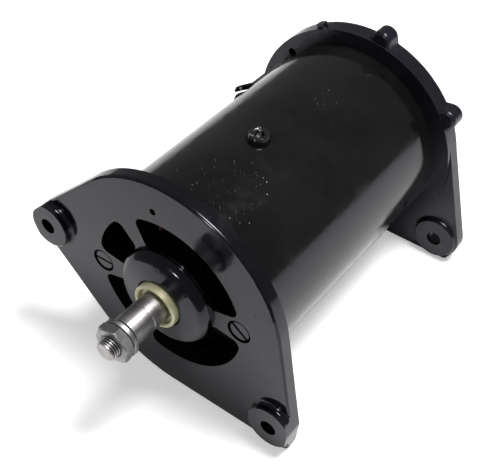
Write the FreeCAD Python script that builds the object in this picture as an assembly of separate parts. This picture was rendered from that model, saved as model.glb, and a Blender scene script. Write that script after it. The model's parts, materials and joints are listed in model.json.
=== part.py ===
"""Twelve volt dynamo with two cast end brackets, as a bench assembly of separate pieces.

Frame: millimetres, +Z up as the dynamo lies on a table on its lower edge. The shaft lies on
the Y axis and its drive end points along -Y. The origin is on the shaft axis, in the outer
face of the shaft collar, where the hub of a pulley seats. Angles are measured in the XZ
plane from +X towards +Z, as seen by someone who faces the drive end.
"""
import FreeCAD, Part
import math
import os

os.makedirs("parts", exist_ok=True)

V = FreeCAD.Vector
Y_AXIS = V(0, 1, 0)

# Stations along the shaft, from the seat of the pulley hub at y = 0
collar_reach = 10.0            # collar face in front of the drive end plate
plate_thickness = 6.5
yoke_length = 144.5
end_flange_depth = 10.5

# Yoke, the steel tube that carries the poles
yoke_radius = 50.8
yoke_wall = 6.3

# Drive end bracket
plate_radius = 61.4
boss_radius = 25.3
boss_shoulder = 5.5
boss_reach = 6.7               # mouth of the boss in front of the plate
boss_fall = 2.1                # from the mouth back to the rim of the boss
housing_depth = 7.5            # bearing housing behind the plate
window_outer_radius = 40.5
window_corner = 4.0
window_root_corner = 2.5
bolt_spoke_half_angle = 11.0
plain_spoke_half_angle = 8.0
edge_rounding = 1.2
spigot_length = 4.0
spigot_wall = 3.6
spigot_clearance = 0.1
sight_hole_radius = 1.65
sight_hole_depth = 4.0         # dowel line inside the outer face of the yoke
sight_hole_angle = 97.5

# Ears of the two brackets
pivot_ear_pitch = 75.0
pivot_ear_angle = -37.6
strap_ear_pitch = 70.7
strap_ear_angle = 176.8
ear_tip_radius = 10.0
ear_corner_radius = 3.0
ear_corner_shift = 5.8         # lower corner beyond the hole, along the straight lower edge
strap_corner_shift = 2.2
strap_corner_offset = 12.4
rear_ear_tip_radius = 13.0
ear_hole_radius = 4.1          # clearance on a 5/16 inch bolt
ear_pad_radius = 11.7
ear_pad_height = 4.0
rear_pad_height = 2.7
ear_pad_edge = 0.4
ear_pad_root = 1.9             # hollow fillet at the foot of a pad
rear_ear_thickness = 6.5

# Commutator end bracket
end_flange_radius = 58.8
end_wall_thickness = 5.5
rim_boss_radius = 5.5
rim_boss_pitch = 59.5
rim_boss_angles = (80.0, 29.8)
rim_boss_setback = 1.2
rim_boss_root_radius = 9.0     # the bosses widen towards this circle inside the rim
rim_boss_root_pitch = 50.0
rim_lug_angle = 115.0
rim_lug_width = 5.0
rim_lug_height = 1.8
rim_lug_setback = 2.0
rim_lug_length = 4.7
dowel_slot_angle = 139.5
dowel_slot_radius = 2.3
dowel_slot_offset = 1.4        # outside the outer face of the yoke
hub_radius = 17.0
hub_reach = 12.5               # hub behind the end wall
vent_inner_radius = 23.0
vent_outer_radius = 37.0
vent_half_angle = 19.0
vent_angles = (49.0, 131.0, 229.0, 311.0)

# Through bolts
bolt_wall_distance = 5.0       # bolt line inside the bore of the yoke
bolt_angles = (4.0, 184.0)
bolt_shank_radius = 2.5
bolt_head_radius = 5.1
bolt_head_height = 2.6
bolt_recess_radius = 6.1
bolt_recess_depth = 3.0
bolt_slot_width = 1.2
bolt_slot_depth = 1.2
bolt_slot_angles = (-38.0, 2.0)
bolt_clearance = 0.35

# Drive end bearing, 15 x 35 x 11
bearing_bore_radius = 7.5
bearing_outer_radius = 17.5
bearing_width = 11.0
bearing_pitch_radius = 12.5
ball_radius = 2.9
ball_count = 8
race_land = 2.35               # thickness of each race beside its groove
groove_clearance = 0.06
cage_width = 6.0
cage_thickness = 0.9
housing_front_wall = 4.9
felt_width = 3.2
felt_cup_wall = 0.8
housing_mouth_radius = 12.4
retainer_thickness = 1.5
retainer_radius = 23.0
rivet_radius = 1.5
rivet_pitch_radius = 20.3
rivet_count = 3
rivet_head = 0.9

# Armature
shaft_seat_radius = 7.5
shaft_line_depth = 0.25
shaft_line_offset = 7.3        # turned line in front of the collar face
pulley_seat_length = 19.0
thread_radius = 5.0
thread_pitch = 1.25
thread_depth = 0.55
thread_length = 10.5
core_seat_radius = 9.0
shaft_shoulder_radius = 10.2
journal_radius = 6.35
end_disc_setback = 0.8         # fibre discs inside the rim of the core
core_length = 72.0
slot_count = 14
slot_mouth = 2.6
slot_bulb_radius = 3.3
slot_bulb_depth = 5.8          # bulb line below the face of the core
winding_clearance = 0.25
winding_front_length = 8.8
winding_rear_length = 8.0
winding_setback = 2.0          # winding heads inside the rim of the core
winding_inner_radius = 12.0
fibre_disc_thickness = 1.2
commutator_radius = 18.0
commutator_length = 22.0
riser_length = 4.0
riser_radius = 20.2
segment_count = 28
segment_gap = 0.6
segment_depth = 5.0
commutator_gap = 3.0           # between the rear winding and the risers

# Parts on the drive end of the shaft
collar_outer_radius = 11.5
collar_rim = 2.1
collar_cup_depth = 3.2
collar_bore_clearance = 0.02
washer_outer_radius = 9.5
washer_thickness = 2.2
washer_gap = 1.2
nut_across_flats = 17.0
nut_height = 5.0
nut_corner_angle = 76.0
nut_chamfer = 1.0
key_width = 3.0
key_radius = 6.5
key_reach = 1.4
key_angle = 232.0

# Poles and field coils
air_gap = 0.6
pole_depth = 14.5              # from the bore of the yoke to the pole face
pole_half_width = 17.0
pole_tip_angle = 56.0
pole_tip_thickness = 3.8
pole_angle = 87.0
coil_wall_clearance = 0.60467  # from the outer corner of a coil to the yoke
coil_height = 6.4
coil_fit = 0.4
coil_corner = 7.0
pole_screw_setback = 1.7       # screw in front of the middle of the pole
pole_screw_head_radius = 5.2
pole_screw_head_height = 3.7
pole_screw_crest_radius = 4.6
pole_screw_spot_radius = 6.2   # flat seat that is cut into the yoke round the head
pole_screw_seat = 0.6          # seat below the crown of the yoke
pole_screw_shank_radius = 4.0
pole_screw_depth = 13.0
pole_screw_socket = 5.0
pole_screw_socket_depth = 2.6
pole_screw_clearance = 0.25

# Commutator end bush
bush_outer_radius = 9.5
bush_length = 18.0
running_clearance = 0.03
felt_disc_radius = 12.3
felt_disc_thickness = 3.0
cap_thickness = 1.6
thrust_washer_thickness = 1.5
thrust_washer_radius = 12.0

# Brush gear
brush_width = 6.4
brush_length = 16.0            # along the shaft
brush_rise = 2.08              # top of a new brush above its box
brush_clearance = 0.2
brush_lift = 0.08              # running gap between brush face and commutator
box_wall = 1.2
box_bottom = 21.0              # nearest wall of the box to the shaft axis
box_wall_distance = 11.5       # top of the box below the bore of the yoke
foot_thickness = 1.6
insulator_thickness = 1.0
foot_width = 13.0
foot_screw_spread = 5.6
foot_screw_wall_distance = 9.2 # screws below the bore of the yoke
foot_margin = 3.0
foot_screw_radius = 2.0
foot_screw_head_radius = 3.0
foot_screw_head_height = 2.0
arm_pivot_offset = 14.0
arm_pivot_rise = 0.2           # pivot above the top of the box
arm_thickness = 1.2
arm_width = 5.0
post_radius = 1.8
arm_eye_radius = 3.2
spring_wire_radius = 0.6
spring_turns = 2.5

# Terminals on the yoke
field_terminal_angle = 153.0
output_terminal_angle = 163.6
terminal_block_margin = 2.4    # degrees beyond the blades
terminal_block_length = 23.0
terminal_block_height = 1.8
terminal_block_setback = 4.0   # from the flange of the commutator end bracket
output_blade_width = 9.5
field_blade_width = 4.8
blade_thickness = 0.8
blade_seat = 0.3               # depth of the flat under each blade in the block
output_blade_length = 7.2
field_blade_length = 10.0
blade_tilt = 20.0
blade_hole_radius = 1.1
blade_hole_setback = 3.3       # from the tip of the blade
terminal_rivet_radius = 1.6
lead_radius = 1.1
lead_bend = 11.0
lead_wall_distance = 1.5       # start of a lead inside the bore of the yoke
lead_drop = 6.0                # output lead below its start
link_bolt_distance = 7.5       # field link inside the line of the through bolts
link_reach = 6.0               # field link behind the coils
link_side = 13.0
coil_entry = 22.0              # where the link enters the coils, beside their middle
coil_exit = 19.0

# Locating dowels
dowel_radius = 1.5
dowel_length = 8.0
dowel_reach = 3.2

# Values worked out from those above
plate_front = collar_reach
plate_back = plate_front + plate_thickness
boss_face = plate_front - boss_reach
yoke_front = plate_back
yoke_back = yoke_front + yoke_length
yoke_bore = yoke_radius - yoke_wall
sight_hole_pitch = yoke_radius - sight_hole_depth
dowel_slot_pitch = yoke_radius + dowel_slot_offset
bolt_pitch_radius = yoke_bore - bolt_wall_distance
pole_bore = yoke_bore - pole_depth
core_radius = pole_bore - air_gap
slot_bulb_pitch = core_radius - slot_bulb_depth
winding_outer_radius = core_radius - winding_setback
box_top = yoke_bore - box_wall_distance
foot_screw_height = yoke_bore - foot_screw_wall_distance
arm_pivot_height = box_top + arm_pivot_rise
flange_front = yoke_back
flange_back = flange_front + end_flange_depth
wall_front = flange_back - end_wall_thickness
hub_back = flange_back + hub_reach
housing_back = plate_back + housing_depth
felt_front = boss_face + housing_front_wall
bearing_front = felt_front + felt_width + felt_cup_wall
bearing_back = bearing_front + bearing_width
pole_middle = yoke_front + 0.5 * core_length + 21.5
core_front = pole_middle - 0.5 * core_length
core_back = core_front + core_length
pole_seat = yoke_bore - 0.05
winding_front = core_front - fibre_disc_thickness - winding_front_length
winding_back = core_back + fibre_disc_thickness + winding_rear_length
commutator_front = winding_back + commutator_gap
commutator_back = commutator_front + riser_length + commutator_length
bush_back = hub_back - cap_thickness - felt_disc_thickness - 0.5
bush_front = bush_back - bush_length
shaft_back = bush_back + 0.4
thrust_front = bush_front - thrust_washer_thickness - 0.2
seat_end = -pulley_seat_length
washer_back = seat_end - washer_gap
washer_front = washer_back - washer_thickness
nut_front = washer_front - nut_height
shaft_front = seat_end - thread_length - 2.0
bolt_end = flange_back - 1.0
brush_middle = commutator_front + riser_length + 0.5 * commutator_length - 1.0
brush_front = brush_middle - 0.5 * brush_length
brush_foot = commutator_radius + brush_lift
brush_height = box_top + brush_rise - brush_foot
beam_top = foot_screw_height - foot_screw_head_radius - 0.3
coil_bottom = pole_bore - 0.6
coil_top = coil_bottom + coil_height
coil_outside = math.sqrt((yoke_bore - coil_wall_clearance) ** 2 - coil_top ** 2)
coil_width = coil_outside - pole_half_width - coil_fit
block_back = flange_front - terminal_block_setback
block_front = block_back - terminal_block_length
rivet_station = block_back - 6.0
pole_screw_station = pole_middle - pole_screw_setback


def at(radius, angle, y=0.0):
    """Point at a radius and an angle round the shaft axis."""
    a = math.radians(angle)
    return V(radius * math.cos(a), y, radius * math.sin(a))


def rod(radius, y0, y1, place=V(0, 0, 0)):
    """Round bar along the shaft axis, or along a line beside it."""
    return Part.makeCylinder(radius, y1 - y0, V(place.x, y0, place.z), Y_AXIS)


def ring(outer, inner, y0, y1, place=V(0, 0, 0)):
    """Round bar with a bore right through."""
    return rod(outer, y0, y1, place).cut(rod(inner, y0 - 1, y1 + 1, place))


def turned(profile):
    """Solid turned about the shaft axis from (radius, y) corners."""
    points = [V(r, y, 0) for r, y in profile]
    face = Part.Face(Part.makePolygon(points + [points[0]]))
    return face.revolve(V(0, 0, 0), Y_AXIS, 360)


def spun(shape, angle):
    """Turns a shape that was built at the top, at 90 degrees, to another angle."""
    copy = shape.copy()
    copy.rotate(V(0, 0, 0), Y_AXIS, 90.0 - angle)
    return copy


def round_about(shape, count, first=0.0):
    """Equally spaced copies of a shape round the shaft axis, starting from where it is."""
    copies = []
    for i in range(count):
        copy = shape.copy()
        copy.rotate(V(0, 0, 0), Y_AXIS, -first - i * 360.0 / count)
        copies.append(copy)
    return copies


def slab(x0, x1, y0, y1, z0, z1):
    """Box between two corners."""
    return Part.makeBox(x1 - x0, y1 - y0, z1 - z0, V(x0, y0, z0))


def along_y(shape, tolerance=1e-4):
    """Straight edges of a shape that run along the shaft axis."""
    found = []
    for edge in shape.Edges:
        if len(edge.Vertexes) == 2:
            a, b = edge.Vertexes[0].Point, edge.Vertexes[1].Point
            if abs(a.x - b.x) < tolerance and abs(a.z - b.z) < tolerance:
                found.append(edge)
    return found


def edges_at(shape, y, tolerance=1e-4):
    """Edges of a shape that lie wholly in the plane of one station."""
    box = [(e, e.BoundBox) for e in shape.Edges]
    return [e for e, b in box if abs(b.YMin - y) < tolerance and abs(b.YMax - y) < tolerance]


def hull(circles, y0, y1):
    """Plate bounded by arcs about (point, radius) circles and their outer tangents.

    The circles are given in the order in which the outline meets them, anticlockwise.
    """
    tangents = []
    for (p, r), (q, s) in zip(circles, circles[1:] + circles[:1]):
        d = q - p
        lean = math.asin((r - s) / d.Length)
        heading = math.atan2(d.z, d.x) - math.pi / 2 + lean
        n = V(math.cos(heading), 0, math.sin(heading))
        tangents.append((p + n * r, q + n * s, heading))
    edges = []
    for i, (start, end, heading) in enumerate(tangents):
        edges.append(Part.LineSegment(start, end).toShape())
        centre, radius = circles[(i + 1) % len(circles)]
        after = tangents[(i + 1) % len(tangents)]
        turn = (after[2] - heading) % (2 * math.pi)
        middle = heading + turn / 2
        crest = centre + V(math.cos(middle), 0, math.sin(middle)) * radius
        edges.append(Part.Arc(end, crest, after[0]).toShape())
    face = Part.Face(Part.Wire(edges))
    face.translate(V(0, y0, 0))
    return face.extrude(V(0, y1 - y0, 0))


def sector(inner, outer, first, last, y0, y1, corner=0.0, root=0.0):
    """Part of a ring between two angles, with rounded outer and inner corners."""
    middle = 0.5 * (first + last)
    edges = [
        Part.Arc(at(inner, first), at(inner, middle), at(inner, last)).toShape(),
        Part.LineSegment(at(inner, last), at(outer, last)).toShape(),
        Part.Arc(at(outer, last), at(outer, middle), at(outer, first)).toShape(),
        Part.LineSegment(at(outer, first), at(inner, first)).toShape(),
    ]
    face = Part.Face(Part.Wire(edges))
    face.translate(V(0, y0, 0))
    solid = face.extrude(V(0, y1 - y0, 0))
    for size, radius in ((corner, outer), (root, inner)):
        if size > 0:
            near = [e for e in along_y(solid)
                    if abs(math.hypot(e.Vertexes[0].X, e.Vertexes[0].Z) - radius) < 0.01]
            solid = solid.makeFillet(size, near)
    return solid


def tube_path(points, radius, bend):
    """Round wire along straight runs joined by tangent arcs, none larger than bend."""
    edges = []
    start = points[0]
    for before, corner, after in zip(points, points[1:], points[2:]):
        d1 = (corner - before).normalize()
        d2 = (after - corner).normalize()
        half = d1.getAngle(d2) / 2
        room = 0.45 * min((corner - before).Length, (after - corner).Length)
        size = min(bend, room / math.tan(half))
        reach = size * math.tan(half)
        inward = (d2 - d1).normalize()
        centre = corner + inward * (size / math.cos(half))
        a, b = corner - d1 * reach, corner + d2 * reach
        edges.append(Part.LineSegment(start, a).toShape())
        edges.append(Part.Arc(a, centre - inward * size, b).toShape())
        start = b
    edges.append(Part.LineSegment(start, points[-1]).toShape())
    path = Part.Wire(edges)
    first_run = (points[1] - points[0]).normalize()
    circle = Part.Wire(Part.makeCircle(radius, points[0], first_run))
    return path.makePipeShell([circle], True, False)


def ear_pad(height, face, place):
    """Round pad in front of an ear, with a small edge and a hollow fillet at its foot."""
    r, e, f = ear_pad_radius, ear_pad_edge, ear_pad_root
    foot = face + height
    hollow = V(r + f, foot - f, 0)
    edges = [
        Part.LineSegment(V(0, face, 0), V(r - e, face, 0)).toShape(),
        Part.LineSegment(V(r - e, face, 0), V(r, face + e, 0)).toShape(),
        Part.LineSegment(V(r, face + e, 0), V(r, foot - f, 0)).toShape(),
        Part.Arc(V(r, foot - f, 0), hollow + V(-f, f, 0) * math.sqrt(0.5),
                 V(r + f, foot, 0)).toShape(),
        Part.LineSegment(V(r + f, foot, 0), V(r + f, foot + 1, 0)).toShape(),
        Part.LineSegment(V(r + f, foot + 1, 0), V(0, foot + 1, 0)).toShape(),
        Part.LineSegment(V(0, foot + 1, 0), V(0, face, 0)).toShape(),
    ]
    pad = Part.Face(Part.Wire(edges)).revolve(V(0, 0, 0), Y_AXIS, 360)
    pad.translate(place)
    return pad


def one(shape):
    """The single solid of a boolean result."""
    solids = shape.removeSplitter().Solids
    return solids[0] if len(solids) == 1 else Part.makeCompound(solids)


PIECES = {}


def keep(name, shape):
    """Adds a piece, which may be a list of like solids, under its own name."""
    if isinstance(shape, list):
        shape = Part.makeCompound(shape)
    PIECES[name] = shape


# Drive end bracket


def bracket_windows(y0, y1):
    """The four windows between the spokes of the drive end plate."""
    right, left = bolt_angles
    upper = 0.5 * (right + left) + 30.0
    lower = 0.5 * (right + left) + 150.0
    bolt, plain = bolt_spoke_half_angle, plain_spoke_half_angle
    spans = (
        (right + bolt, upper - plain),
        (upper + plain, left - bolt),
        (left + bolt, lower - plain),
        (lower + plain, right + 360.0 - bolt),
    )
    inner = boss_radius
    outer = window_outer_radius
    return [sector(inner, outer, a, b, y0, y1, window_corner, window_root_corner)
            for a, b in spans]


def drive_end_bracket():
    pivot = at(pivot_ear_pitch, pivot_ear_angle)
    strap = at(strap_ear_pitch, strap_ear_angle)
    centre = V(0, 0, 0)
    pivot_corner = V(pivot.x + ear_corner_shift, 0, ear_corner_radius - plate_radius)
    strap_corner = strap + V(-strap_corner_shift, 0, -strap_corner_offset)
    outline = [(centre, plate_radius), (strap, ear_tip_radius), (strap_corner, ear_corner_radius)]
    left = hull(outline, plate_front, plate_back)
    outline = [(centre, plate_radius), (pivot_corner, ear_corner_radius), (pivot, ear_tip_radius)]
    right = hull(outline, plate_front, plate_back)
    plate = left.fuse(right).removeSplitter()
    full = plate.copy()
    rim = [e for e in edges_at(plate, plate_front)]
    plate = plate.makeFillet(edge_rounding, rim)
    for hole in (pivot, strap):
        pad = ear_pad(ear_pad_height, plate_front - ear_pad_height, hole)
        tall = full.copy()
        tall.translate(V(0, -ear_pad_height, 0))
        plate = plate.fuse(pad.common(full.fuse(tall)))
    for window in bracket_windows(plate_front - 1, plate_back + 1):
        plate = plate.cut(window)
    boss = turned([
        (housing_mouth_radius, boss_face),
        (boss_radius, boss_face + boss_fall),
        (boss_radius, housing_back),
        (bearing_outer_radius, housing_back),
        (bearing_outer_radius, felt_front),
        (housing_mouth_radius, felt_front),
    ])
    boss = boss.makeFillet(boss_shoulder, edges_at(boss, boss_face + boss_fall))
    spigot = ring(yoke_bore - spigot_clearance, yoke_bore - spigot_clearance - spigot_wall,
                  plate_back - 1, plate_back + spigot_length)
    body = plate.cut(rod(bearing_outer_radius, plate_front - 2, plate_back + 2))
    body = body.fuse([boss, spigot])
    for angle in bolt_angles:
        place = at(bolt_pitch_radius, angle)
        body = body.cut(rod(bolt_shank_radius + bolt_clearance, 0, plate_back + 10, place))
        body = body.cut(rod(bolt_recess_radius, 0, plate_front + bolt_recess_depth, place))
    for hole in (pivot, strap):
        body = body.cut(rod(ear_hole_radius, 0, plate_back + 1, hole))
    dowel = at(sight_hole_pitch, sight_hole_angle)
    body = body.cut(rod(sight_hole_radius, 0, plate_back + 8, dowel))
    for i in range(rivet_count):
        place = at(rivet_pitch_radius, 90.0 + i * 360.0 / rivet_count)
        body = body.cut(rod(rivet_radius, housing_back - 6, housing_back + 1, place))
    return one(body)


# Drive end bearing and what holds it


def ball_groove():
    """Ring of ball section that is cut from both races."""
    middle = 0.5 * (bearing_front + bearing_back)
    return Part.makeTorus(bearing_pitch_radius, ball_radius + groove_clearance,
                          V(0, middle, 0), Y_AXIS)


def bearing_races():
    inner_land = bearing_bore_radius + race_land
    outer_land = bearing_outer_radius - race_land
    inner = ring(inner_land, bearing_bore_radius, bearing_front, bearing_back)
    outer = ring(bearing_outer_radius, outer_land, bearing_front, bearing_back)
    keep("bearing_inner_race", one(inner.cut(ball_groove())))
    keep("bearing_outer_race", one(outer.cut(ball_groove())))


def bearing_balls():
    middle = 0.5 * (bearing_front + bearing_back)
    ball = Part.makeSphere(ball_radius, V(0, middle, bearing_pitch_radius))
    keep("bearing_balls", round_about(ball, ball_count))


def bearing_cage():
    middle = 0.5 * (bearing_front + bearing_back)
    half = 0.5 * cage_width
    band = ring(bearing_pitch_radius + cage_thickness, bearing_pitch_radius - cage_thickness,
                middle - half, middle + half)
    pocket = Part.makeSphere(ball_radius + groove_clearance, V(0, middle, bearing_pitch_radius))
    for hole in round_about(pocket, ball_count):
        band = band.cut(hole)
    keep("bearing_cage", one(band))


def bearing_seals():
    """Felt ring in its pressed cup, between the housing mouth and the bearing."""
    felt_back = felt_front + felt_width
    felt = ring(bearing_outer_radius - felt_cup_wall, collar_sleeve_radius() + 0.3,
                felt_front, felt_back)
    cup = ring(bearing_outer_radius, bearing_outer_radius - felt_cup_wall, felt_front, felt_back)
    floor = ring(bearing_outer_radius, bearing_outer_radius - race_land - 1.5,
                 felt_back, bearing_front)
    keep("felt_ring", one(felt))
    keep("felt_ring_cup", one(cup.fuse(floor)))


def bearing_retainer():
    """Plate riveted over the back of the bearing housing."""
    back = housing_back + retainer_thickness
    plate = ring(retainer_radius, bearing_outer_radius - race_land - 0.4, housing_back, back)
    rivets = []
    for i in range(rivet_count):
        place = at(rivet_pitch_radius, 90.0 + i * 360.0 / rivet_count)
        plate = plate.cut(rod(rivet_radius, housing_back - 1, back + 1, place))
        shank = rod(rivet_radius, housing_back - 6, back, place)
        head = rod(1.7 * rivet_radius, back, back + rivet_head, place)
        rivets.append(one(shank.fuse(head)))
    lip = ring(bearing_outer_radius, bearing_outer_radius - race_land - 0.4,
               bearing_back, housing_back)
    keep("bearing_retaining_plate", one(plate.fuse(lip)))
    keep("retaining_plate_rivets", rivets)


# Pieces on the shaft


def collar_sleeve_radius():
    """Sleeve of the collar, as thick as the inner race so that it clamps it."""
    return bearing_bore_radius + race_land


def shaft_collar():
    """Pressed cup with a rolled rim, whose sleeve reaches back to the bearing."""
    bore = shaft_seat_radius + collar_bore_clearance
    sleeve = collar_sleeve_radius()
    rim = collar_outer_radius
    mouth = rim - collar_rim
    soften = 0.35 * collar_rim
    back = collar_cup_depth + 1.4
    profile = [
        (bore, collar_cup_depth),
        (mouth, collar_cup_depth),
        (mouth, soften),
        (mouth + soften, 0.0),
        (rim - soften, 0.0),
        (rim, soften),
        (rim, back),
        (sleeve, back),
        (sleeve, bearing_front),
        (bore, bearing_front),
    ]
    keep("shaft_collar", one(turned(profile)))


def thread_cuts(radius, depth, pitch, y0, y1):
    """Ring grooves that stand for a screw thread."""
    grooves = []
    count = int((y1 - y0) / pitch)
    for i in range(count):
        y = y0 + (i + 0.5) * pitch
        half = 0.42 * pitch
        grooves.append(turned([(radius - depth, y), (radius + 0.2, y - half),
                               (radius + 0.2, y + half)]))
    return grooves


def armature_shaft():
    line = -shaft_line_offset
    profile = [
        (0.0, shaft_front),
        (thread_radius - 0.8, shaft_front),
        (thread_radius, shaft_front + 0.8),
        (thread_radius, washer_back),
        (thread_radius - 0.3, washer_back),
        (thread_radius - 0.3, seat_end),
        (shaft_seat_radius - 0.5, seat_end),
        (shaft_seat_radius, seat_end + 0.5),
        (shaft_seat_radius, line - 0.3),
        (shaft_seat_radius - shaft_line_depth, line - 0.1),
        (shaft_seat_radius - shaft_line_depth, line + 0.1),
        (shaft_seat_radius, line + 0.3),
        (bearing_bore_radius, bearing_back),
        (shaft_shoulder_radius, bearing_back),
        (shaft_shoulder_radius, bearing_back + 4.0),
        (core_seat_radius, bearing_back + 4.0),
        (core_seat_radius, commutator_back),
        (journal_radius + 1.0, commutator_back),
        (journal_radius + 1.0, thrust_front),
        (journal_radius, thrust_front),
        (journal_radius, shaft_back - 0.5),
        (journal_radius - 0.5, shaft_back),
        (0.0, shaft_back),
    ]
    shaft = turned(profile)
    for groove in thread_cuts(thread_radius, thread_depth, thread_pitch,
                              shaft_front + 1.2, nut_front - 0.3):
        shaft = shaft.cut(groove)
    keep("armature_shaft", one(shaft.cut(key_slot())))


def key_slot():
    """Half-round disc in which the key and its slot share their shape."""
    half = 0.5 * key_width
    middle = 0.5 * seat_end
    disc = Part.makeCylinder(key_radius, key_width, V(-half, middle, shaft_seat_radius), V(1, 0, 0))
    block = slab(-half - 1, half + 1, middle - key_radius - 1, middle + key_radius + 1,
                 0, shaft_seat_radius + key_reach)
    return spun(disc.common(block), key_angle)


def shaft_key():
    keep("shaft_key", one(key_slot()))


def shaft_spring_washer():
    """Split spring washer, left tight against the nut."""
    washer = ring(washer_outer_radius, thread_radius + 0.25, washer_front, washer_back)
    split = slab(-0.6, 0.6, washer_front - 1, washer_back + 1, 0, washer_outer_radius + 1)
    split.rotate(V(0, washer_front, 0), V(0, 0, 1), 20)
    keep("shaft_spring_washer", one(washer.cut(spun(split, 200.0))))


def hexagon(across_flats, y0, y1, corner_angle):
    corner = 0.5 * across_flats / math.cos(math.pi / 6)
    points = [at(corner, corner_angle + 60 * i, y0) for i in range(7)]
    return Part.Face(Part.makePolygon(points)).extrude(V(0, y1 - y0, 0))


def shaft_nut():
    body = hexagon(nut_across_flats, nut_front, washer_front, nut_corner_angle)
    crown = 0.5 * nut_across_flats
    corner = crown / math.cos(math.pi / 6)
    chamfered = turned([
        (0.0, nut_front),
        (crown - 0.3, nut_front),
        (corner, nut_front + nut_chamfer),
        (corner, washer_front - nut_chamfer),
        (crown, washer_front),
        (0.0, washer_front),
    ])
    bore = turned([
        (0.0, nut_front - 1),
        (thread_radius + 0.9, nut_front - 1),
        (thread_radius + 0.9, nut_front + 0.1),
        (thread_radius + 0.02, nut_front + 0.9),
        (thread_radius + 0.02, washer_front + 1),
        (0.0, washer_front + 1),
    ])
    keep("shaft_nut", one(body.common(chamfered).cut(bore)))


# Armature


def core_slots(bulb_radius, mouth, y0, y1):
    """Semi-closed slots of the core, or the windings that fill them."""
    bulb = rod(bulb_radius, y0, y1, V(0, 0, slot_bulb_pitch))
    throat = slab(-0.5 * mouth, 0.5 * mouth, y0, y1, slot_bulb_pitch, core_radius + 1)
    return round_about(bulb.fuse(throat).removeSplitter(), slot_count)


def armature_core():
    core = ring(core_radius, core_seat_radius, core_front, core_back)
    for slot in core_slots(slot_bulb_radius, slot_mouth, core_front - 1, core_back + 1):
        core = core.cut(slot)
    keep("armature_core", one(core))
    discs = []
    for y0 in (core_front - fibre_disc_thickness, core_back):
        disc = ring(core_radius - end_disc_setback, core_seat_radius + 0.1, y0, y0 + fibre_disc_thickness)
        for slot in core_slots(slot_bulb_radius, slot_mouth, y0 - 1, y0 + 3):
            disc = disc.cut(slot)
        discs.append(one(disc))
    keep("core_end_discs", discs)


def armature_windings():
    """Slot conductors with the rounded heads of wire at both ends of the core."""
    fit = winding_clearance
    soften = 3.0
    heads = []
    front_edge = core_front - fibre_disc_thickness
    back_edge = core_back + fibre_disc_thickness
    for a, b in ((winding_front, front_edge), (winding_back, back_edge)):
        s = soften if b > a else -soften
        heads.append(turned([
            (winding_inner_radius, b),
            (winding_inner_radius, a),
            (winding_outer_radius - soften, a),
            (winding_outer_radius, a + s),
            (winding_outer_radius, b),
        ]))
    bars = round_about(rod(slot_bulb_radius - fit, front_edge - 0.5, back_edge + 0.5,
                           V(0, 0, slot_bulb_pitch)), slot_count)
    keep("armature_windings", one(heads[0].fuse(heads[1:] + bars)))


def commutator():
    segment = turned([
        (commutator_radius - segment_depth, commutator_front),
        (riser_radius, commutator_front),
        (riser_radius, commutator_front + riser_length),
        (commutator_radius, commutator_front + riser_length),
        (commutator_radius, commutator_back),
        (commutator_radius - segment_depth, commutator_back),
    ])
    pitch = 360.0 / segment_count
    half_angle = 0.5 * pitch
    wedge = sector(1.0, riser_radius + 5, 90 - half_angle, 90 + half_angle,
                   commutator_front - 1, commutator_back + 1)
    bar = segment.common(wedge)
    gap = slab(-0.5 * segment_gap, 0.5 * segment_gap, commutator_front - 1, commutator_back + 1,
               0, riser_radius + 2)
    bar = bar.cut(spun(gap, 90 - half_angle)).cut(spun(gap, 90 + half_angle))
    keep("commutator_segments", round_about(one(bar), segment_count))
    sleeve = ring(commutator_radius - segment_depth, core_seat_radius,
                  commutator_front, commutator_back)
    keep("commutator_sleeve", one(sleeve))


# Yoke, poles and field coils


def turned_upright(profile, y):
    """Solid turned about an upright line through the shaft axis at one station."""
    points = [V(r, y, z) for r, z in profile]
    face = Part.Face(Part.makePolygon(points + [points[0]]))
    return face.revolve(V(0, y, 0), V(0, 0, 1), 360)


def pole_screw_hole(grow):
    """Room for the shank and the cone under the head, with the flat seat round it."""
    seat = yoke_radius - pole_screw_seat
    head = pole_screw_head_radius + grow
    shank = pole_screw_shank_radius + grow
    neck = seat + pole_screw_shank_radius - pole_screw_head_radius
    tip = seat - pole_screw_depth - grow
    spot = pole_screw_spot_radius
    profile = [(0.0, tip), (shank, tip), (shank, neck), (head, seat), (spot, seat),
               (spot, yoke_radius + 1), (0.0, yoke_radius + 1)]
    return turned_upright(profile, pole_screw_station)


def pole_screw():
    """Screw with a round, dished head that stands on the yoke, driven by a six-sided socket."""
    seat = yoke_radius - pole_screw_seat
    head, shank, crest = pole_screw_head_radius, pole_screw_shank_radius, pole_screw_crest_radius
    top = seat + pole_screw_head_height
    tip = seat - pole_screw_depth
    body = turned_upright([
        (0.0, tip), (shank, tip), (shank, seat - head + shank), (head, seat),
        (head, top - 1.5), (0.5 * (head + crest), top - 0.5), (crest, top),
        (crest - 0.6, top), (crest - 1.4, top - 0.6), (0.0, top - 1.0)], pole_screw_station)
    corners = [V(0.5 * pole_screw_socket / math.cos(math.pi / 6) * math.cos(math.radians(a)),
                 pole_screw_station + 0.5 * pole_screw_socket / math.cos(math.pi / 6)
                 * math.sin(math.radians(a)), top - pole_screw_socket_depth)
               for a in range(20, 380, 60)]
    socket = Part.Face(Part.makePolygon(corners + corners[:1])).extrude(V(0, 0, 10))
    return one(body.cut(socket))


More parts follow.
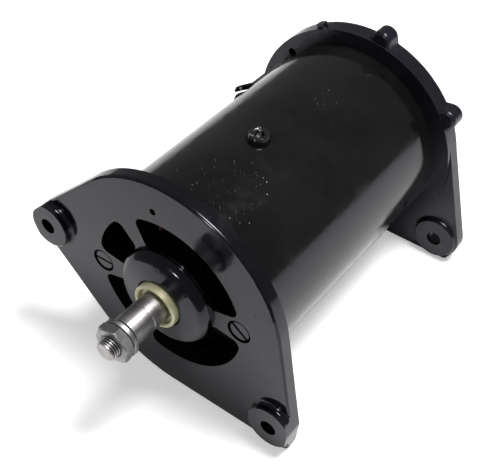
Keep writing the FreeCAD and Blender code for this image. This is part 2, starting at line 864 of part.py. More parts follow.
def yoke():
    tube = ring(yoke_radius, yoke_bore, yoke_front, yoke_back)
    hole = pole_screw_hole(pole_screw_clearance)
    for side in (pole_angle, pole_angle + 180.0):
        tube = tube.cut(spun(hole, side))
    for place in (at(sight_hole_pitch, sight_hole_angle), at(sight_hole_pitch, -sight_hole_angle)):
        deep = dowel_length - dowel_reach
        tube = tube.cut(rod(dowel_radius, yoke_front - 1, yoke_front + deep, place))
        tube = tube.cut(rod(dowel_radius, yoke_back - deep, yoke_back + 1, place))
    for angle in (field_terminal_angle, output_terminal_angle):
        hole = Part.makeCylinder(terminal_rivet_radius + 0.8, yoke_wall + 4,
                                 V(0, rivet_station, yoke_bore - 2), V(0, 0, 1))
        tube = tube.cut(spun(hole, angle))
    keep("yoke", one(tube))


def locating_dowels():
    """One dowel into each bracket; the front one stands back in the sight hole."""
    front = rod(dowel_radius, plate_back - dowel_reach, plate_back + dowel_length - dowel_reach,
                at(sight_hole_pitch, sight_hole_angle))
    back = rod(dowel_radius, yoke_back - dowel_length + dowel_reach, yoke_back + dowel_reach,
               at(sight_hole_pitch, sight_hole_angle))
    keep("locating_dowels", [front, back])


def poles_and_coils():
    body = slab(-pole_half_width, pole_half_width, core_front, core_back, 0, yoke_radius)
    shell = ring(pole_seat, pole_bore, core_front, core_back)
    tips = sector(pole_bore, pole_bore + pole_tip_thickness, 90 - pole_tip_angle,
                  90 + pole_tip_angle, core_front, core_back)
    shoe = one(body.common(shell).fuse(tips))
    shoe = one(shoe.cut(pole_screw_hole(0.0)))
    inside = pole_half_width + coil_fit
    outside = coil_outside
    ends = coil_fit + coil_width
    top = coil_top
    block = slab(-outside, outside, core_front - ends, core_back + ends, coil_bottom, top)
    uprights = [e for e in block.Edges if abs(e.Vertexes[0].Z - e.Vertexes[1].Z) > 1]
    block = block.makeFillet(coil_corner, uprights)
    window = slab(-inside, inside, core_front - coil_fit, core_back + coil_fit, 0, top + 1)
    coil = block.cut(window)
    soft = [e for e in coil.Edges if e.BoundBox.ZLength < 0.01
            and max(abs(e.BoundBox.XMin), abs(e.BoundBox.XMax)) > inside + 0.1]
    coil = one(coil.makeFillet(1.6, soft))
    screw = pole_screw()
    for name, side in (("upper", pole_angle), ("lower", pole_angle + 180.0)):
        keep("pole_shoe_" + name, spun(shoe, side))
        keep("field_coil_" + name, spun(coil, side))
        keep("pole_screw_" + name, spun(screw, side))


def through_bolts():
    head_front = plate_front + bolt_recess_depth - bolt_head_height
    head_back = plate_front + bolt_recess_depth
    for name, angle, slot_angle in zip(("right", "left"), bolt_angles, bolt_slot_angles):
        place = at(bolt_pitch_radius, angle)
        head = rod(bolt_head_radius, head_front, head_back, place)
        head = head.makeFillet(0.5, edges_at(head, head_front))
        slot = slab(-bolt_head_radius - 1, bolt_head_radius + 1, head_front - 1,
                    head_front + bolt_slot_depth, -0.5 * bolt_slot_width, 0.5 * bolt_slot_width)
        slot.rotate(V(0, 0, 0), Y_AXIS, -slot_angle)
        slot.translate(place)
        shank = rod(bolt_shank_radius, head_front + bolt_slot_depth, bolt_end, place)
        keep("through_bolt_" + name, one(head.fuse(shank).cut(slot)))


# Commutator end bracket and its bush


def commutator_end_bracket():
    pivot = at(pivot_ear_pitch, pivot_ear_angle)
    centre = V(0, 0, 0)
    corner = V(pivot.x + ear_corner_shift, 0, ear_corner_radius - end_flange_radius)
    ear_front = flange_front + rear_pad_height
    ear = hull([(centre, end_flange_radius - 0.01), (corner, ear_corner_radius),
                (pivot, rear_ear_tip_radius)], ear_front, ear_front + rear_ear_thickness)
    tall = ear.copy()
    tall.translate(V(0, -rear_pad_height, 0))
    pad = ear_pad(rear_pad_height, flange_front, pivot).common(ear.fuse(tall))
    disc = rod(end_flange_radius, flange_front, flange_back)
    disc = disc.makeFillet(edge_rounding, edges_at(disc, flange_back))
    lugs = []
    for angle in rim_boss_angles:
        boss = hull([(at(rim_boss_root_pitch, angle), rim_boss_root_radius),
                     (at(rim_boss_pitch, angle), rim_boss_radius)],
                    flange_front + rim_boss_setback, flange_back - 0.5)
        lugs.append(boss.makeFillet(1.8, edges_at(boss, flange_front + rim_boss_setback)))
    lug = slab(-0.5 * rim_lug_width, 0.5 * rim_lug_width, flange_front + rim_lug_setback,
               flange_front + rim_lug_setback + rim_lug_length,
               end_flange_radius - 4, end_flange_radius + rim_lug_height)
    uprights = [e for e in lug.Edges if abs(e.Vertexes[0].Z - e.Vertexes[1].Z) > 1]
    lug = lug.makeFillet(1.2, uprights)
    lugs.append(spun(lug, rim_lug_angle))
    inner = yoke_bore - spigot_clearance
    spigot = ring(inner, inner - spigot_wall, flange_front - spigot_length, flange_front + 1)
    body = disc.fuse([ear, pad, spigot] + lugs)
    body = body.cut(rod(inner - spigot_wall, flange_front - 1, wall_front))
    hub = rod(hub_radius, bush_front, hub_back)
    hub = hub.makeFillet(1.5, edges_at(hub, hub_back))
    posts = [rod(bolt_recess_radius, flange_front, wall_front + 1, at(bolt_pitch_radius, a))
             for a in bolt_angles]
    body = body.fuse([hub] + posts)
    for angle in bolt_angles:
        place = at(bolt_pitch_radius, angle)
        body = body.cut(rod(bolt_shank_radius, flange_front - 9, flange_back + 1, place))
        clear = rod(bolt_shank_radius + bolt_clearance, flange_front - 9, flange_front, place)
        body = body.cut(clear)
    for angle in vent_angles:
        body = body.cut(sector(vent_inner_radius, vent_outer_radius, angle - vent_half_angle,
                               angle + vent_half_angle, wall_front - 1, flange_back + 1,
                               3.0, 3.0))
    body = body.cut(rod(ear_hole_radius, flange_front - 1, flange_back + 1, pivot))
    body = body.cut(rod(bush_outer_radius, bush_front - 1, bush_back + 1))
    body = body.cut(rod(felt_disc_radius, bush_back, hub_back + 1))
    slot_place = at(dowel_slot_pitch, dowel_slot_angle)
    body = body.cut(rod(dowel_slot_radius, flange_front - 1, flange_front + 6, slot_place))
    dowel_place = at(sight_hole_pitch, sight_hole_angle)
    body = body.cut(rod(dowel_radius, flange_front - 1, flange_front + dowel_reach, dowel_place))
    for place in foot_screw_places():
        body = body.cut(rod(foot_screw_radius, flange_front, flange_back + 1, place))
    keep("commutator_end_bracket", one(body))


def end_bush():
    keep("end_bush", ring(bush_outer_radius, journal_radius + running_clearance,
                          bush_front, bush_back))
    felt_from = bush_back + 0.5
    cap_from = hub_back - cap_thickness
    keep("bush_felt_disc", rod(felt_disc_radius, felt_from, cap_from))
    cap = rod(felt_disc_radius, cap_from, hub_back)
    oil_hole = rod(1.2, cap_from - 1, hub_back + 1)
    keep("bush_cap", one(cap.cut(oil_hole)))
    keep("thrust_washer", ring(thrust_washer_radius, journal_radius + 0.1, thrust_front + 0.02,
                               thrust_front + thrust_washer_thickness))


# Brush gear


def foot_screw_places():
    """Screws of both brush boxes, two in each foot."""
    places = []
    for side in (1, -1):
        for x in (-foot_screw_spread, foot_screw_spread):
            places.append(V(side * x, 0, side * foot_screw_height))
    return places


def brush_box(shim):
    """Box with its foot and the post of its arm, built at the top of the bracket."""
    inner_x = 0.5 * brush_width + brush_clearance
    outer_x = inner_x + box_wall
    front = brush_front - brush_clearance
    back = brush_front + brush_length + brush_clearance
    box = slab(-outer_x, outer_x, front - box_wall, back + box_wall, box_bottom, box_top)
    box = box.cut(slab(-inner_x, inner_x, front, back, box_bottom - 1, box_top + 1))
    foot_back = wall_front - shim
    half = 0.5 * foot_width
    beam = slab(-half, half, back + 0.5 * box_wall, foot_back, beam_top - foot_thickness, beam_top)
    width = foot_screw_spread + foot_margin
    foot = slab(-width, width, foot_back - foot_thickness, foot_back,
                box_bottom + 4, foot_screw_height + foot_margin)
    lug = slab(0, arm_pivot_offset, back + box_wall - foot_thickness, back + box_wall,
               arm_pivot_height - 3.4, arm_pivot_height + 3.4)
    lug_end = rod(3.4, back + box_wall - foot_thickness, back + box_wall, arm_pivot())
    post = rod(post_radius, front, back + box_wall, arm_pivot())
    body = box.fuse([beam, foot, lug, lug_end, post])
    body = body.cut(slab(-inner_x, inner_x, front, back, box_bottom - 1, box_top + 5))
    for x in (-foot_screw_spread, foot_screw_spread):
        body = body.cut(rod(foot_screw_radius + 0.15, foot_back - 4, foot_back + 1,
                            V(x, 0, foot_screw_height)))
    return one(body)


def arm_pivot():
    return V(arm_pivot_offset, 0, arm_pivot_height)


def brush_solid():
    half = 0.5 * brush_width
    block = slab(-half, half, brush_front, brush_front + brush_length, 0,
                 brush_foot + brush_height)
    return one(block.cut(rod(brush_foot, brush_front - 1, brush_front + brush_length + 1)))


def arm_solid():
    """Pressed arm whose eye turns on the post and whose nose bears on the brush."""
    y0 = brush_middle - 0.5 * arm_width
    y1 = y0 + arm_width
    nose_radius = 1.1
    rest = brush_foot + brush_height + 0.1 + nose_radius
    top = rest + arm_thickness
    pivot = arm_pivot()
    eye_crest = pivot.z + arm_eye_radius
    corners = [(-2.2, rest), (-2.2, top), (pivot.x - 4, top), (pivot.x + 1, eye_crest - 0.2),
               (pivot.x, eye_crest - 0.6), (pivot.x - 4.5, rest)]
    points = [V(x, y0, z) for x, z in corners]
    strap = Part.Face(Part.makePolygon(points + [points[0]])).extrude(V(0, arm_width, 0))
    nose = rod(nose_radius, y0, y1, V(0, 0, rest))
    eye = rod(arm_eye_radius, y0, y1, pivot)
    body = eye.fuse([strap, nose])
    return one(body.cut(rod(post_radius + 0.05, y0 - 1, y1 + 1, pivot)))


def spring_solid():
    """Turns of the torsion spring that stand on the post behind the arm."""
    coil_radius = post_radius + spring_wire_radius + 0.3
    pitch = 2 * spring_wire_radius + 0.15
    helix = Part.makeHelix(pitch, pitch * spring_turns, coil_radius)
    section = Part.Wire(Part.makeCircle(spring_wire_radius, V(coil_radius, 0, 0), V(0, 1, 0)))
    spring = Part.Wire(helix.Edges).makePipeShell([section], True, True)
    spring.rotate(V(0, 0, 0), V(1, 0, 0), -90)
    start = brush_middle + 0.5 * arm_width + spring_wire_radius + 0.3
    spring.translate(arm_pivot() + V(0, start, 0))
    return spring


def brush_gear():
    gear = (("upper", 90.0, insulator_thickness), ("lower", 270.0, 0.0))
    for name, side, shim in gear:
        keep("brush_box_" + name, spun(brush_box(shim), side))
        keep("brush_" + name, spun(brush_solid(), side))
        keep("brush_arm_" + name, spun(arm_solid(), side))
        keep("brush_spring_" + name, spun(spring_solid(), side))
    margin = foot_margin + 0.8
    plate = slab(-foot_screw_spread - margin, foot_screw_spread + margin,
                 wall_front - insulator_thickness, wall_front,
                 box_bottom + 3.2, foot_screw_height + margin)
    screws = []
    for i, place in enumerate(foot_screw_places()):
        shim = insulator_thickness if i < 2 else 0.0
        seat = wall_front - shim - foot_thickness
        head = rod(foot_screw_head_radius, seat - foot_screw_head_height, seat, place)
        slot = slab(-5, 5, seat - foot_screw_head_height - 1, seat - foot_screw_head_height + 0.9,
                    -0.5, 0.5)
        slot.translate(place)
        shank = rod(foot_screw_radius, seat - 0.5, wall_front + 5.0, place)
        screws.append(one(head.fuse(shank).cut(slot)))
        if i < 2:
            plate = plate.cut(rod(foot_screw_radius + 0.15, seat - 1, wall_front + 1, place))
    keep("brush_box_insulator", one(plate))
    keep("brush_box_screws", screws)


# Terminals and leads


def blade(width, length):
    """Flat blade that leaves the block level and then leans away from the yoke."""
    low = yoke_radius + terminal_block_height - blade_seat
    root = slab(-0.5 * width, 0.5 * width, block_front - 0.01, block_back - 2.5,
                low, low + blade_thickness)
    leaf = slab(-0.5 * width, 0.5 * width, block_front - length, block_front,
                low, low + blade_thickness)
    ends = [e for e in leaf.Edges if abs(e.Vertexes[0].Z - e.Vertexes[1].Z) > 0.1
            and e.Vertexes[0].Y < block_front - 1]
    leaf = leaf.makeFillet(0.25 * width, ends)
    place = V(0, block_front - length + blade_hole_setback, low - 1)
    leaf = leaf.cut(Part.makeCylinder(blade_hole_radius, 4, place, V(0, 0, 1)))
    leaf.rotate(V(0, block_front, low), V(1, 0, 0), -blade_tilt)
    return one(root.fuse(leaf))


def terminals():
    """Curved insulating strip on the yoke with the two blades and their rivets."""
    low = yoke_radius + terminal_block_height - blade_seat
    places = (
        ("field_terminal", field_terminal_angle, field_blade_width, field_blade_length),
        ("output_terminal", output_terminal_angle, output_blade_width, output_blade_length),
    )
    upper, lower = [math.degrees(0.5 * width / yoke_radius) for _, _, width, _ in places]
    block = sector(yoke_radius + 0.02, yoke_radius + terminal_block_height,
                   field_terminal_angle - upper - terminal_block_margin,
                   output_terminal_angle + lower + terminal_block_margin,
                   block_front, block_back)
    rivets = []
    for name, angle, width, length in places:
        leaf = blade(width, length)
        flat = slab(-0.5 * width - 0.15, 0.5 * width + 0.15, block_front - 1, block_back - 2.3,
                    low, low + 3)
        block = block.cut(spun(flat, angle))
        r = terminal_rivet_radius
        shank = Part.makeCylinder(r, low + blade_thickness - yoke_bore + 1.5,
                                  V(0, rivet_station, yoke_bore - 1.5), V(0, 0, 1))
        block = block.cut(spun(shank, angle))
        head = Part.makeCylinder(1.4 * r, 0.9, V(0, rivet_station, low + blade_thickness),
                                 V(0, 0, 1))
        rivets.append(spun(one(shank.fuse(head)), angle))
        keep(name, spun(one(leaf.cut(shank)), angle))
    keep("terminal_block", one(block))
    keep("terminal_rivets", rivets)


def leads():
    """Insulated wires inside the yoke, from the terminals and between the coils."""
    y = rivet_station
    inner = yoke_bore - lead_wall_distance
    low = inner - lead_drop
    field_at = field_terminal_angle
    output_at = output_terminal_angle
    coil_back = core_back + coil_fit + coil_width
    wire_z = coil_bottom + 0.5 * coil_height
    beam_middle = beam_top - 0.5 * foot_thickness
    back = y + 2.6
    output = [
        at(inner, output_at, back),
        at(low, output_at - 2, back),
        at(low, output_at - 28, back),
        at(low - 0.5, output_at - 48, back),
        V(-17, back, beam_middle),
        V(-0.5 * foot_width, back, beam_middle),
    ]
    field = [
        at(inner, field_at, y),
        at(inner - 0.5 * lead_drop, field_at, y),
        at(inner - 0.5 * lead_drop, field_at, y - 18),
        V(-coil_exit, coil_back + link_reach + 1, wire_z),
        V(-coil_exit, coil_back, wire_z),
    ]
    behind = coil_back + link_reach
    wall = bolt_pitch_radius - link_bolt_distance
    link = [V(coil_entry, coil_back, wire_z - 1), V(coil_entry, behind, wire_z - 1)]
    link += [V(wall, behind, link_side), V(wall, behind, -link_side)]
    link += [V(coil_entry, behind, 1 - wire_z), V(coil_entry, coil_back, 1 - wire_z)]
    turn = FreeCAD.Rotation(Y_AXIS, 90.0 - pole_angle)
    field = field[:3] + [turn.multVec(p) for p in field[3:]]
    link = [turn.multVec(p) for p in link]
    for name, route in (("output_lead", output), ("field_lead", field), ("field_link", link)):
        keep(name, tube_path(route, lead_radius, lead_bend))


def build():
    keep("drive_end_bracket", drive_end_bracket())
    bearing_races()
    bearing_balls()
    bearing_cage()
    bearing_seals()
    bearing_retainer()
    shaft_collar()
    armature_shaft()
    shaft_key()
    shaft_spring_washer()
    shaft_nut()
    armature_core()
    armature_windings()
    commutator()
    yoke()
    locating_dowels()
    poles_and_coils()
    through_bolts()
    commutator_end_bracket()
    end_bush()
    brush_gear()
    terminals()
    leads()
    for name, shape in PIECES.items():
        shape.exportStep(os.path.join("parts", name + ".step"))
        box = shape.BoundBox
        print(f"{name:26s} solids {len(shape.Solids):2d} valid {shape.isValid()} "
              f"y {box.YMin:7.2f} {box.YMax:7.2f}")


build()
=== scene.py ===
# %% [markdown]
# This notebook dresses a vehicle dynamo: a steel tube between two cast end brackets, painted
# gloss black, with a bright shaft that carries a belt pulley in use. The shapes come as solids
# from the construction model and already stand where they belong. What is left for Blender is
# the look: paint, bare steel, copper, felt and carbon, the soft edges of castings, and the
# wound and woven parts that solids only stand in for.

# %% Load the construction model
import bpy
import json
import math
from mathutils import Matrix, Vector


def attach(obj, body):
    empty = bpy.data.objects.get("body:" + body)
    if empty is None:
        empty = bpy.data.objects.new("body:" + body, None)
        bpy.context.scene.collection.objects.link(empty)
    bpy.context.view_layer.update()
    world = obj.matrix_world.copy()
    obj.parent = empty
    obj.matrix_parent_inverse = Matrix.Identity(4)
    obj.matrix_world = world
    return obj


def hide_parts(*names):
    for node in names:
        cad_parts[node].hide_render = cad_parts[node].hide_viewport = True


MILLIMETRE = 0.001

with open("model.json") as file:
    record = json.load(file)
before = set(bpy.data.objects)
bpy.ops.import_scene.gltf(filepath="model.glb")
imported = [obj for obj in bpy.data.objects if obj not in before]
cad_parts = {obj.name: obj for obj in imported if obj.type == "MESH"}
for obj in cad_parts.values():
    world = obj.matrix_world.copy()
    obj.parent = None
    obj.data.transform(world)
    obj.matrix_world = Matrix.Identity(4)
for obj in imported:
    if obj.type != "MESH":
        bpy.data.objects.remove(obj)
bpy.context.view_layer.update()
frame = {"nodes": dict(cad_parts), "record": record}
solids = frame["nodes"]

# %% [markdown]
# The photograph was taken from above the drive end, a little to its right. A camera fitted to
# its outlines gives a place, a turn and a focal length, which are written here as they are. The
# shift stays at zero, because the lens looked at the middle of the picture.

# %% The photograph's camera
lens_data = bpy.data.cameras.new("camera")
lens_data.lens = 67.25
lens_data.sensor_width = 36.0
lens_data.clip_start = 0.01
lens_data.clip_end = 20.0
camera = bpy.data.objects.new("camera", lens_data)
camera.location = (0.19239, -0.19756, 0.30842)
camera.rotation_euler = [math.radians(a) for a in (46.202, -1.106, 36.651)]
bpy.context.collection.objects.link(camera)
bpy.context.scene.camera = camera

# %% [markdown]
# A finish is a small network of shader nodes. Drawing it by hand takes many clicks, so two small
# classes do the wiring. A Wire is the output of one node and takes part in sums like a number:
# each sum adds a Math node. A Finish is the material, with one method that adds any other node,
# and it keeps a list of all it made, because the model brings plain materials with like names.

# %% Two helpers for shader networks
class Wire:
    """The output of a shader node, on which sums can be written."""

    def __init__(self, finish, socket):
        self.finish = finish
        self.socket = socket

    def _sum(self, operation, *values):
        return self.finish.node("ShaderNodeMath", {"operation": operation}, *values)

    def __add__(self, other):
        return self._sum("ADD", self, other)

    def __radd__(self, other):
        return self._sum("ADD", other, self)

    def __sub__(self, other):
        return self._sum("SUBTRACT", self, other)

    def __rsub__(self, other):
        return self._sum("SUBTRACT", other, self)

    def __mul__(self, other):
        return self._sum("MULTIPLY", self, other)

    def __rmul__(self, other):
        return self._sum("MULTIPLY", other, self)

    def __pow__(self, other):
        return self._sum("POWER", self, other)

    def above(self, edge):
        return self._sum("GREATER_THAN", self, edge)

    def at_least(self, other):
        return self._sum("MAXIMUM", self, other)

    def size(self):
        return self._sum("ABSOLUTE", self)

    def fraction(self):
        return self._sum("FRACT", self)

    def spread(self, low, high, to_low=0.0, to_high=1.0):
        """A soft step from to_low to to_high as the value goes from low to high."""
        settings = {"interpolation_type": "SMOOTHSTEP"}
        return self.finish.node("ShaderNodeMapRange", settings, self, low, high, to_low, to_high)


class Finish:
    """A material whose network is written as sums on wires."""

    made = {}

    def __init__(self, name, **fixed):
        self.material = bpy.data.materials.new(name)
        Finish.made[name] = self.material
        self.material.use_nodes = True
        self.tree = self.material.node_tree
        self.shader = self.tree.nodes["Principled BSDF"]
        for socket, value in fixed.items():
            self.shader.inputs[socket.replace("_", " ")].default_value = value

    def plug(self, socket, value):
        """Links a wire to a socket, or writes a plain value into it."""
        if isinstance(value, Wire):
            self.tree.links.new(value.socket, socket)
        elif value is not None:
            socket.default_value = value

    def node(self, kind, settings=None, *values, output=0, **named):
        """Adds a node, sets it up, fills its sockets in order or by name, gives its output."""
        node = self.tree.nodes.new(kind)
        for key, value in (settings or {}).items():
            setattr(node, key, value)
        for socket, value in zip(node.inputs, values):
            self.plug(socket, value)
        for name, value in named.items():
            self.plug(node.inputs[name.replace("_", " ")], value)
        return Wire(self, node.outputs[output])

    def place(self):
        """Position on the object, in metres."""
        return self.node("ShaderNodeTexCoord", None, output=3)

    def axes(self):
        """The three coordinates of the position, as wires."""
        split = self.node("ShaderNodeSeparateXYZ", None, self.place())
        outputs = split.socket.node.outputs
        return [Wire(self, outputs[i]) for i in range(3)]

    def noise(self, scale, detail=2.0, rough=0.5, where=None):
        """Soft noise whose features are about one unit of 1 / scale metres."""
        where = where or self.place()
        return self.node("ShaderNodeTexNoise", Vector=where, Scale=scale, Detail=detail,
                         Roughness=rough)

    def cells(self, scale):
        """Distance to the nearest of scattered points."""
        return self.node("ShaderNodeTexVoronoi", Vector=self.place(), Scale=scale)

    def mix(self, share, first, second):
        """A colour between two colours."""
        settings = {"data_type": "RGBA"}
        node = self.node("ShaderNodeMix", settings).socket.node
        colours = [s for s in node.inputs if s.type == "RGBA"]
        self.plug(node.inputs[0], share)
        for socket, value in zip(colours, (first, second)):
            if not isinstance(value, Wire):
                value = (*value, 1.0)
            self.plug(socket, value)
        return Wire(self, [s for s in node.outputs if s.type == "RGBA"][0])

    def bump(self, height, unit):
        """Tilts the surface as a relief of that height would, in units of so many metres."""
        return self.node("ShaderNodeBump", Height=height, Strength=1.0, Distance=unit)

    def wear(self, colour, rough, metal=None, normal=None):
        """Feeds what changes over the surface into the shader."""
        inputs = self.shader.inputs
        self.plug(inputs["Base Color"], colour)
        self.plug(inputs["Roughness"], rough)
        self.plug(inputs["Metallic"], metal)
        self.plug(inputs["Normal"], normal)
        return self.material


# %% [markdown]
# The castings and the tube were brushed with thick black enamel. It dries glossy, with a slow
# waviness, a fine orange peel, and small nibs where grit or a dried drop sits in the film. The
# waviness and the peel are two noises of different size, and the nibs are the tips of scattered
# cells, kept only where a third, slow noise is high, so that they gather in patches.

# %% Black enamel
def enamel(name, shade, gloss, wave, peel, grain, nibs, gritty=None):
    """Brushed gloss enamel. Wave, peel, grain and nibs are heights of relief, in millimetres."""
    f = Finish(name, IOR=1.45, Specular_Tint=(0.90, 0.89, 1.0, 1.0))
    slow = f.noise(60, 2.0)
    fine = f.noise(700, 2.0)
    sand = f.noise(1500, 3.0, 0.6)
    patch = f.noise(38, 1.0).spread(0.60, 0.74)
    if gritty:
        settings = {"operation": "DISTANCE"}
        away = f.node("ShaderNodeVectorMath", settings, f.place(), gritty, output=1)
        patch = patch.at_least(away.spread(0.008, 0.024, 1.0, 0.0))
    nib_size = 0.22
    dots = (nib_size - f.cells(520)).at_least(0.0) * (1 / nib_size)
    height = slow * wave + fine * peel + sand * grain + dots * patch * nibs
    cloud = f.noise(25, 3.0, 0.6)
    colour = f.mix(cloud.spread(0.35, 0.7), shade, [c * 1.7 + 0.001 for c in shade])
    rough = f.noise(140, 3.0).spread(0.35, 0.75, gloss, gloss + 0.1)
    return f.wear(colour, rough, normal=f.bump(height, MILLIMETRE))


plate_enamel = enamel("plate_enamel", (0.0025, 0.0025, 0.004), 0.08, 0.10, 0.012, 0.0, 0.15)
yoke_enamel = enamel("yoke_enamel", (0.003, 0.003, 0.003), 0.10, 0.12, 0.016, 0.006, 0.35,
                     (0.0098, 0.0406, 0.0499))
terminal_enamel = enamel("terminal_enamel", (0.008, 0.008, 0.009), 0.20, 0.05, 0.010, 0.0, 0.05)
cover_enamel = enamel("cover_enamel", (0.004, 0.004, 0.006), 0.18, 0.22, 0.040, 0.060, 0.30)

# %% [markdown]
# The heads of the pole screws stand proud, so the paint has gone from their rims where a key and
# other parts knocked them. The wear needs to know how far a point lies from the screw's middle.
# A Mapping node turns the pattern until the screw's axis is upright, and the distance from that
# axis then picks out the rim, which a noise breaks into nicks.

# %% Worn enamel on the pole screws
def worn_enamel(name, station, lean, inner, outer):
    """Enamel on a head about an axis at a station on y, leaning by an angle in degrees."""
    f = Finish(name, IOR=1.45)
    turned = f.node("ShaderNodeMapping", None, f.place(), (0.0, -station, 0.0),
                    (0.0, math.radians(lean), 0.0))
    split = f.node("ShaderNodeSeparateXYZ", None, turned).socket.node.outputs
    across, along = Wire(f, split[0]), Wire(f, split[1])
    reach = (across * across + along * along) ** 0.5
    rim = reach.spread(inner, inner + 0.0006) * (1 - reach.spread(outer - 0.0003, outer + 0.0006))
    nicks = f.noise(900, 3.0, 0.6).spread(0.46, 0.58)
    bare = rim * nicks
    colour = f.mix(bare, (0.010, 0.010, 0.010), (0.42, 0.41, 0.39))
    height = f.noise(300, 3.0) * 0.05 + bare * -0.03
    return f.wear(colour, bare * 0.2 + 0.16, bare * 0.9, f.bump(height, MILLIMETRE))


worn_screw = worn_enamel("worn_screw", 0.0723, 3.0, 0.0036, 0.0052)

# %% [markdown]
# The shaft was turned and ground, so its marks run round it: rings that change only along the
# axis, and on the end faces with the distance from the centre. Both come from one noise that is
# read at the station along the shaft and at the radius, and never at the angle. The radius also
# picks out the roots of the thread, and there the colour is made darker.

# %% Turned steel
def turned_steel(name, shade, gloss, rings):
    f = Finish(name, Metallic=1.0)
    x, y, z = f.axes()
    radius = (x * x + z * z) ** 0.5
    where = f.node("ShaderNodeCombineXYZ", None, radius, y, 0.0)
    marks = f.noise(4200, 2.0, 0.6, where)
    cloud = f.noise(180, 3.0)
    # The colour is made darker in the roots of the thread, behind its plain point.
    root_darkening = radius.spread(0.0045, 0.0049, 1.0, 0.0) * y.above(-0.0304)
    colour = f.mix(cloud.spread(0.3, 0.7), shade, [c * 0.8 for c in shade])
    colour = f.mix(root_darkening, colour, [c * 0.1 for c in shade])
    rough = marks.spread(0.3, 0.7, gloss - 0.05, gloss + 0.08)
    return f.wear(colour, rough, normal=f.bump(marks, rings))


shaft_steel = turned_steel("shaft_steel", (0.50, 0.485, 0.48), 0.36, 0.000003)

# %% [markdown]
# Nut, washer and screws are plated steel that has dulled under fingers: a grey cloud in colour
# and gloss, and a grain too fine to see as shapes, which only breaks up the mirror image.

# %% Bright fittings
def fitting(name, shade, gloss, relief, tint=None, metal=1.0, chips=0.0):
    """Plated or bare metal. Relief is the height of its grain in metres, chips are dark spots."""
    f = Finish(name, Metallic=metal)
    cloud = f.noise(170, 3.0, 0.55)
    spots = f.noise(900, 2.0)
    grain = f.noise(2600, 2.0)
    second = tint or [c * 0.72 for c in shade]
    colour = f.mix(cloud.spread(0.38, 0.7), shade, second)
    if chips:
        chipped = f.noise(380, 3.0, 0.6).spread(0.66, 0.69)
        colour = f.mix(chipped * chips, colour, (0.02, 0.02, 0.015))
    rough = (cloud + spots).spread(0.8, 1.25, gloss - 0.05, gloss + 0.08)
    return f.wear(colour, rough, normal=f.bump(grain, relief))


nut_steel = fitting("nut_steel", (0.36, 0.35, 0.355), 0.40, 0.000003)
dull_steel = fitting("dull_steel", (0.09, 0.09, 0.09), 0.45, 0.000006)
zinc_yellow = fitting("zinc_yellow", (0.62, 0.59, 0.37), 0.40, 0.000003, (0.56, 0.57, 0.40),
                      0.4, 1.0)
ground_steel = fitting("ground_steel", (0.70, 0.70, 0.70), 0.15, 0.000001)
cage_brass = fitting("cage_brass", (0.62, 0.45, 0.18), 0.3, 0.000004)
oiled_bronze = fitting("oiled_bronze", (0.45, 0.28, 0.12), 0.35, 0.000006)
copper_bar = fitting("copper_bar", (0.50, 0.24, 0.14), 0.35, 0.000006, (0.26, 0.12, 0.08))
pole_iron = fitting("pole_iron", (0.06, 0.06, 0.065), 0.45, 0.000010)
core_iron = fitting("core_iron", (0.10, 0.10, 0.11), 0.42, 0.000008)

# %% [markdown]
# What isn't metal inside the dynamo is fibre board, moulded resin, carbon, felt and varnished
# cotton. They are rough, and differ in grain: fibre board and carbon are speckled, felt and
# cotton have a nap.

# %% Fibre, resin, carbon, felt and cotton
def matt(name, shade, second, rough, grain, relief):
    f = Finish(name)
    cloud = f.noise(grain, 4.0, 0.65)
    fine = f.noise(grain * 6, 2.0)
    colour = f.mix(cloud.spread(0.35, 0.68), shade, second)
    return f.wear(colour, fine.spread(0.3, 0.7, rough - 0.08, rough + 0.06),
                  normal=f.bump(cloud + fine, relief))


fibre_board = matt("fibre_board", (0.08, 0.020, 0.012), (0.05, 0.013, 0.009), 0.6, 500, 0.0001)
dark_resin = matt("dark_resin", (0.02, 0.016, 0.014), (0.03, 0.024, 0.02), 0.4, 400, 0.00005)
brush_carbon = matt("brush_carbon", (0.02, 0.02, 0.021), (0.035, 0.035, 0.036), 0.5, 900, 0.0001)
grey_felt = matt("grey_felt", (0.20, 0.18, 0.15), (0.12, 0.105, 0.085), 0.9, 1500, 0.0004)
wire_varnish = matt("wire_varnish", (0.060, 0.022, 0.010), (0.028, 0.010, 0.005), 0.32, 400, 0.0001)
woven_sleeve = matt("woven_sleeve", (0.03, 0.028, 0.026), (0.05, 0.045, 0.04), 0.7, 1500, 0.0003)

# %% [markdown]
# The field coils are wound with varnished cotton tape, each turn lapping half of the last. The
# tape crosses the wire, so along the sides of a coil its edges follow one another on y, and along
# the ends on x. A sawtooth on that coordinate is the slope of each turn, with a step at its edge.

# %% Taped coils
def taped(name, shade, turn):
    """Tape laid crosswise on the coils, with turns of a width in metres."""
    f = Finish(name, Specular_IOR_Level=0.15)
    x, y, z = f.axes()
    at_end = (y - 0.074).size().above(0.0385)
    run = y * (1 - at_end) + x * at_end + z * 0.25
    slope = (run * (1 / turn)).fraction()
    edge = slope.spread(0.88, 1.0)
    weave = f.noise(1800, 2.0)
    colour = f.mix(edge, shade, [c * 0.4 for c in shade])
    return f.wear(colour, weave.spread(0.3, 0.7, 0.4, 0.6),
                  normal=f.bump(slope * 0.25 + weave * 0.03, MILLIMETRE))


coil_tape = taped("coil_tape", (0.012, 0.009, 0.006), 0.0065)

# %% [markdown]
# Each solid now gets its finish. The table reads from a finish to the names of its solids, and
# the last line of the cell prints what was forgotten, which should be nothing.

